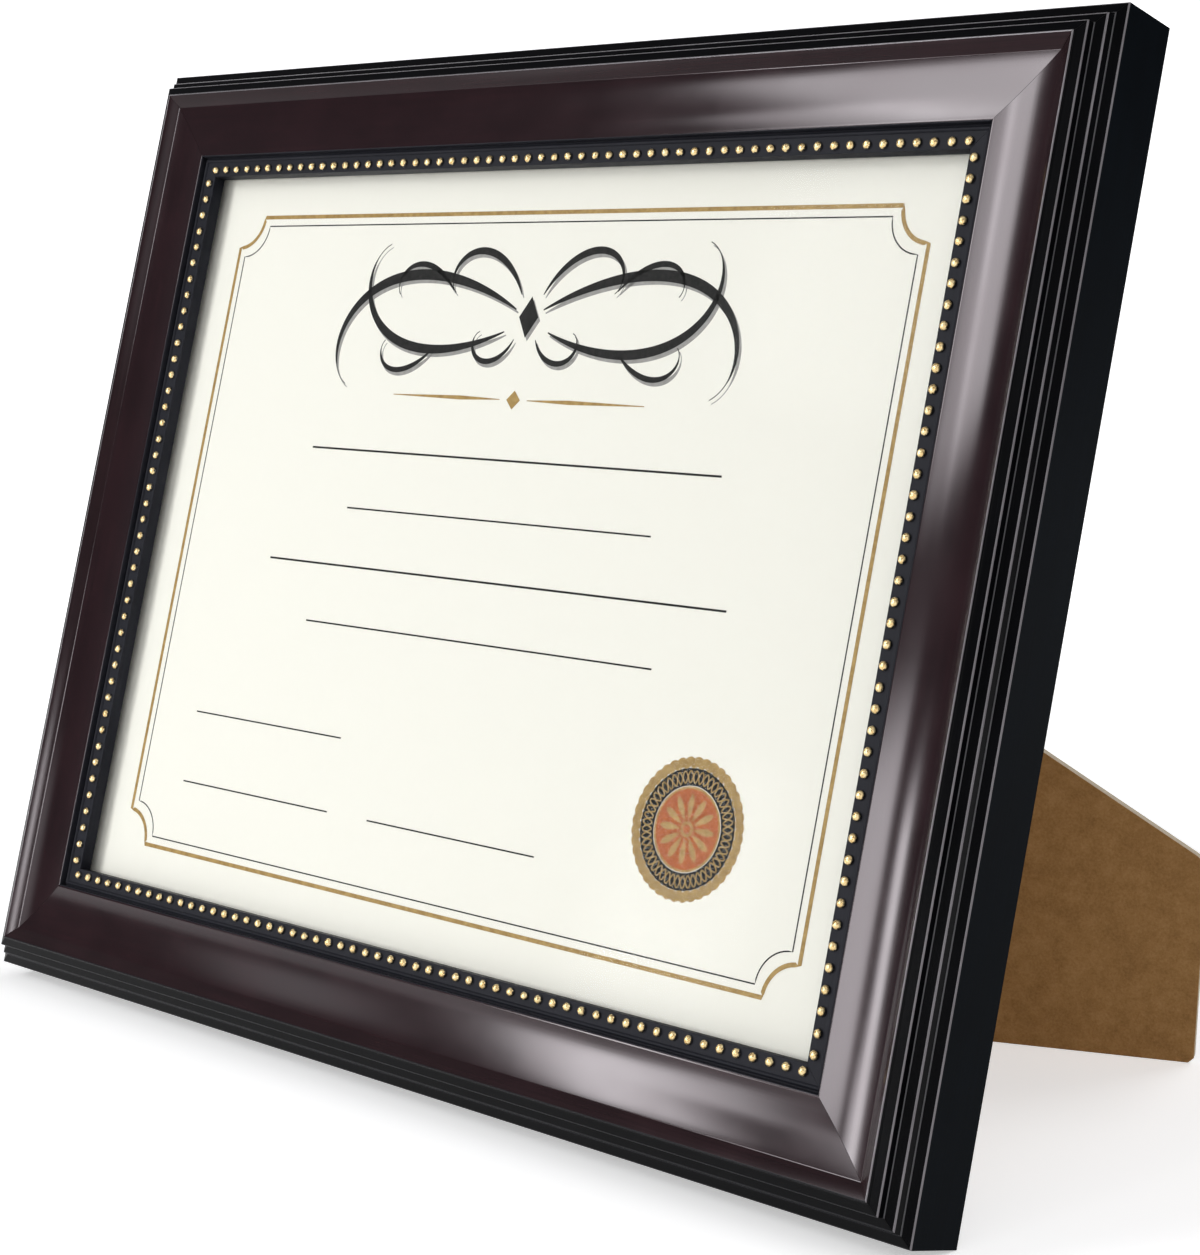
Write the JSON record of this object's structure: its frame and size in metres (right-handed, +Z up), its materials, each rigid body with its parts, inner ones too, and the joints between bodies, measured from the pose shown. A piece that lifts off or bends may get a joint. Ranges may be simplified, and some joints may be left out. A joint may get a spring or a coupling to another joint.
{
  "type": "certificate frame",
  "caption": "Table-top certificate frame: mitred dark mahogany moulding with black ledges and a gilded bead row, glazed sheet, turn buttons and a diagonal folding easel leg.",
  "frame": {"origin": "middle of the bounding box on the table, between the frame's rear bottom edge and the leg's foot", "axes": "+X to the right seen from the front, +Y to the back, +Z up; the glazed front faces -Y and leans back"},
  "size_m": [0.335, 0.1754, 0.2663],
  "materials": {
    "moulding": "dark mahogany lacquer, satin, with black ledges and lip",
    "gilding": "gilded",
    "glass": "clear",
    "paper": "matt cream paper",
    "card": "plain card",
    "fibreboard": "bare brown fibreboard",
    "hinge_metal": "zinc plated",
    "button_metal": "black",
    "hanger_metal": "brass plated",
    "nail_steel": "plain"
  },
  "bodies": {
    "frame": {"top_rail": "moulding", "bottom_rail": "moulding", "left_stile": "moulding", "right_stile": "moulding", "top_beads": "gilding", "bottom_beads": "gilding", "left_beads": "gilding", "right_beads": "gilding", "backing_board": "fibreboard", "filler_board": "card", "certificate": "paper", "glazing": "glass", "corner_v_nails": "nail_steel", "hinge_board_leaf": "hinge_metal", "hinge_pin": "hinge_metal", "board_rivets": "hinge_metal", "turn_button_screws": "button_metal", "landscape_hanger": "hanger_metal", "portrait_hanger": "hanger_metal", "hanger_nails": "hanger_metal"},
    "leg": {"easel_leg": "fibreboard", "hinge_leg_leaf": "hinge_metal", "leg_rivets": "hinge_metal"},
    "button_top_left": {"turn_button_top_left": "button_metal"},
    "button_top_right": {"turn_button_top_right": "button_metal"},
    "button_bottom_left": {"turn_button_bottom_left": "button_metal"},
    "button_bottom_middle": {"turn_button_bottom_middle": "button_metal"},
    "button_left": {"turn_button_left": "button_metal"},
    "button_right": {"turn_button_right": "button_metal"}
  },
  "joints": [
    {"name": "leg_fold", "type": "hinge", "parent": "frame", "child": "leg", "pos_m": [-0.028, -0.01053, 0.19546], "axis": [0.7071, 0.1866, 0.682], "range_deg": [-32.3, 0]},
    {"name": "button_top_left_turn", "type": "hinge", "parent": "frame", "child": "button_top_left", "pos_m": [-0.085, 0.00055, 0.24374], "axis": [0, 0.9646, -0.2639], "continuous": true},
    {"name": "button_top_right_turn", "type": "hinge", "parent": "frame", "child": "button_top_right", "pos_m": [0.085, 0.00055, 0.24374], "axis": [0, 0.9646, -0.2639], "continuous": true},
    {"name": "button_bottom_left_turn", "type": "hinge", "parent": "frame", "child": "button_bottom_left", "pos_m": [-0.085, -0.06117, 0.01813], "axis": [0, 0.9646, -0.2639], "continuous": true},
    {"name": "button_bottom_middle_turn", "type": "hinge", "parent": "frame", "child": "button_bottom_middle", "pos_m": [0.025, -0.06117, 0.01813], "axis": [0, 0.9646, -0.2639], "continuous": true},
    {"name": "button_left_turn", "type": "hinge", "parent": "frame", "child": "button_left", "pos_m": [-0.1487, -0.04562, 0.07499], "axis": [0, 0.9646, -0.2639], "continuous": true},
    {"name": "button_right_turn", "type": "hinge", "parent": "frame", "child": "button_right", "pos_m": [0.1487, -0.01976, 0.16952], "axis": [0, 0.9646, -0.2639], "continuous": true}
  ]
}
